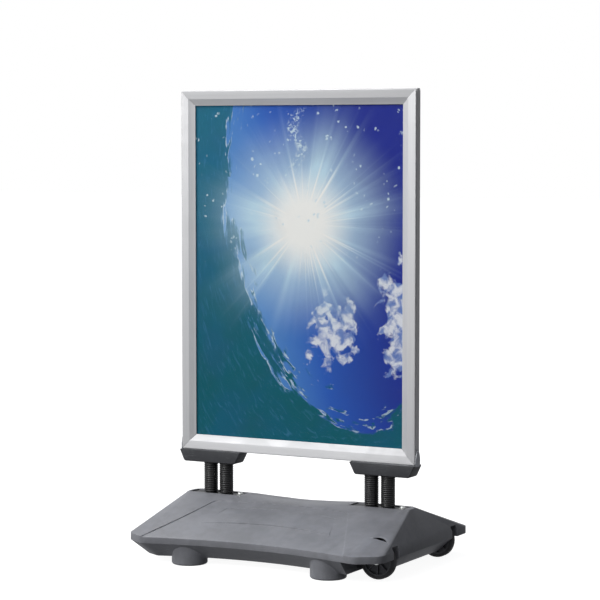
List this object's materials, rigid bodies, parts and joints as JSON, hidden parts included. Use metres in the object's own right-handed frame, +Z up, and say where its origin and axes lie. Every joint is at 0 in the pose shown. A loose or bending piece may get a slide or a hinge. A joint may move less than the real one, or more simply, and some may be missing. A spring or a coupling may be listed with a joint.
{
  "type": "spring-mounted pavement poster sign",
  "caption": "Double-sided pavement sign: snap-open poster frame on four coil springs above a hollow water-filled base with feet and wheels.",
  "frame": {"origin": "on the ground under the middle of the base", "axes": "+X along the sign's width towards the wheels, +Y to the rear, +Z up"},
  "size_m": [0.69, 0.5416, 1.145],
  "materials": {
    "base_plastic": "grained moulded polyethylene",
    "bung_plastic": "moulded plastic",
    "spring_steel": "black powder coat",
    "zinc_steel": "bright zinc",
    "foot_plate_steel": "black powder coat",
    "bracket_steel": "grey powder coat",
    "insert_brass": "turned",
    "bracket_plastic": "fine grain",
    "frame_aluminium": "silver anodised",
    "backing_plastic": "smooth sheet",
    "poster_paper": "printed",
    "clear_sheet": "clear anti-glare sheet",
    "wheel_plastic": "moulded plastic",
    "tyre_rubber": "matt"
  },
  "bodies": {
    "base": {"base_tank": "base_plastic", "axle_front": "zinc_steel", "axle_rear": "zinc_steel", "foot_plate_left": "foot_plate_steel", "foot_plate_right": "foot_plate_steel", "lower_spring_plugs": "zinc_steel", "lower_plug_screws": "zinc_steel", "plate_bolts": "zinc_steel", "plate_washers": "zinc_steel", "threaded_inserts": "insert_brass", "spring_left_outer": "spring_steel", "spring_left_inner": "spring_steel", "spring_right_inner": "spring_steel", "spring_right_outer": "spring_steel"},
    "sign": {"rail_bottom": "frame_aluminium", "rail_top": "frame_aluminium", "rail_left": "frame_aluminium", "rail_right": "frame_aluminium", "corner_keys": "zinc_steel", "backing_panel": "backing_plastic", "front_poster": "poster_paper", "rear_poster": "poster_paper", "front_cover_sheet": "clear_sheet", "rear_cover_sheet": "clear_sheet", "front_snap_springs": "zinc_steel", "rear_snap_springs": "zinc_steel", "bracket_plate_left": "bracket_steel", "bracket_plate_right": "bracket_steel", "bracket_cover_left": "bracket_plastic", "bracket_cover_right": "bracket_plastic", "upper_spring_plugs": "zinc_steel", "upper_plug_screws": "zinc_steel", "rail_screws": "zinc_steel"},
    "wheel_front": {"wheel_hub_front": "wheel_plastic", "tyre_front": "tyre_rubber"},
    "wheel_rear": {"wheel_hub_rear": "wheel_plastic", "tyre_rear": "tyre_rubber"},
    "bung": {"filler_bung": "bung_plastic"},
    "front_clip_bottom": {"front_clip_bottom": "frame_aluminium"},
    "front_clip_top": {"front_clip_top": "frame_aluminium"},
    "front_clip_left": {"front_clip_left": "frame_aluminium"},
    "front_clip_right": {"front_clip_right": "frame_aluminium"},
    "rear_clip_bottom": {"rear_clip_bottom": "frame_aluminium"},
    "rear_clip_top": {"rear_clip_top": "frame_aluminium"},
    "rear_clip_left": {"rear_clip_left": "frame_aluminium"},
    "rear_clip_right": {"rear_clip_right": "frame_aluminium"}
  },
  "joints": [
    {"name": "sign_sway", "type": "hinge", "parent": "base", "child": "sign", "pos_m": [-0.005, 0, 0.183], "axis": [1, 0, 0], "range_deg": [-30, 30], "stiffness_Nm_per_rad": 180, "deforming": ["spring_left_outer", "spring_left_inner", "spring_right_inner", "spring_right_outer"]},
    {"name": "front_clip_bottom_hinge", "type": "hinge", "parent": "sign", "child": "front_clip_bottom", "pos_m": [-0.005, -0.0098, 0.2522], "axis": [1, 0, 0], "range_deg": [0, 90]},
    {"name": "front_clip_top_hinge", "type": "hinge", "parent": "sign", "child": "front_clip_top", "pos_m": [-0.005, -0.0098, 1.1418], "axis": [-1, 0, 0], "range_deg": [0, 90]},
    {"name": "front_clip_left_hinge", "type": "hinge", "parent": "sign", "child": "front_clip_left", "pos_m": [-0.3263, -0.0098, 0.697], "axis": [0, 0, -1], "range_deg": [0, 90]},
    {"name": "front_clip_right_hinge", "type": "hinge", "parent": "sign", "child": "front_clip_right", "pos_m": [0.3163, -0.0098, 0.697], "axis": [0, 0, 1], "range_deg": [0, 90]},
    {"name": "rear_clip_bottom_hinge", "type": "hinge", "parent": "sign", "child": "rear_clip_bottom", "pos_m": [-0.005, 0.0098, 0.2522], "axis": [-1, 0, 0], "range_deg": [0, 90]},
    {"name": "rear_clip_top_hinge", "type": "hinge", "parent": "sign", "child": "rear_clip_top", "pos_m": [-0.005, 0.0098, 1.1418], "axis": [1, 0, 0], "range_deg": [0, 90]},
    {"name": "rear_clip_left_hinge", "type": "hinge", "parent": "sign", "child": "rear_clip_left", "pos_m": [-0.3263, 0.0098, 0.697], "axis": [0, 0, 1], "range_deg": [0, 90]},
    {"name": "rear_clip_right_hinge", "type": "hinge", "parent": "sign", "child": "rear_clip_right", "pos_m": [0.3163, 0.0098, 0.697], "axis": [0, 0, -1], "range_deg": [0, 90]},
    {"name": "wheel_front_spin", "type": "hinge", "parent": "base", "child": "wheel_front", "pos_m": [0.298, -0.161, 0.045], "axis": [0, 1, 0], "continuous": true},
    {"name": "wheel_rear_spin", "type": "hinge", "parent": "base", "child": "wheel_rear", "pos_m": [0.298, 0.161, 0.045], "axis": [0, 1, 0], "continuous": true},
    {"name": "bung_lift", "type": "slide", "parent": "base", "child": "bung", "axis": [0, 0, 1], "range_m": [0, 0.03]}
  ]
}
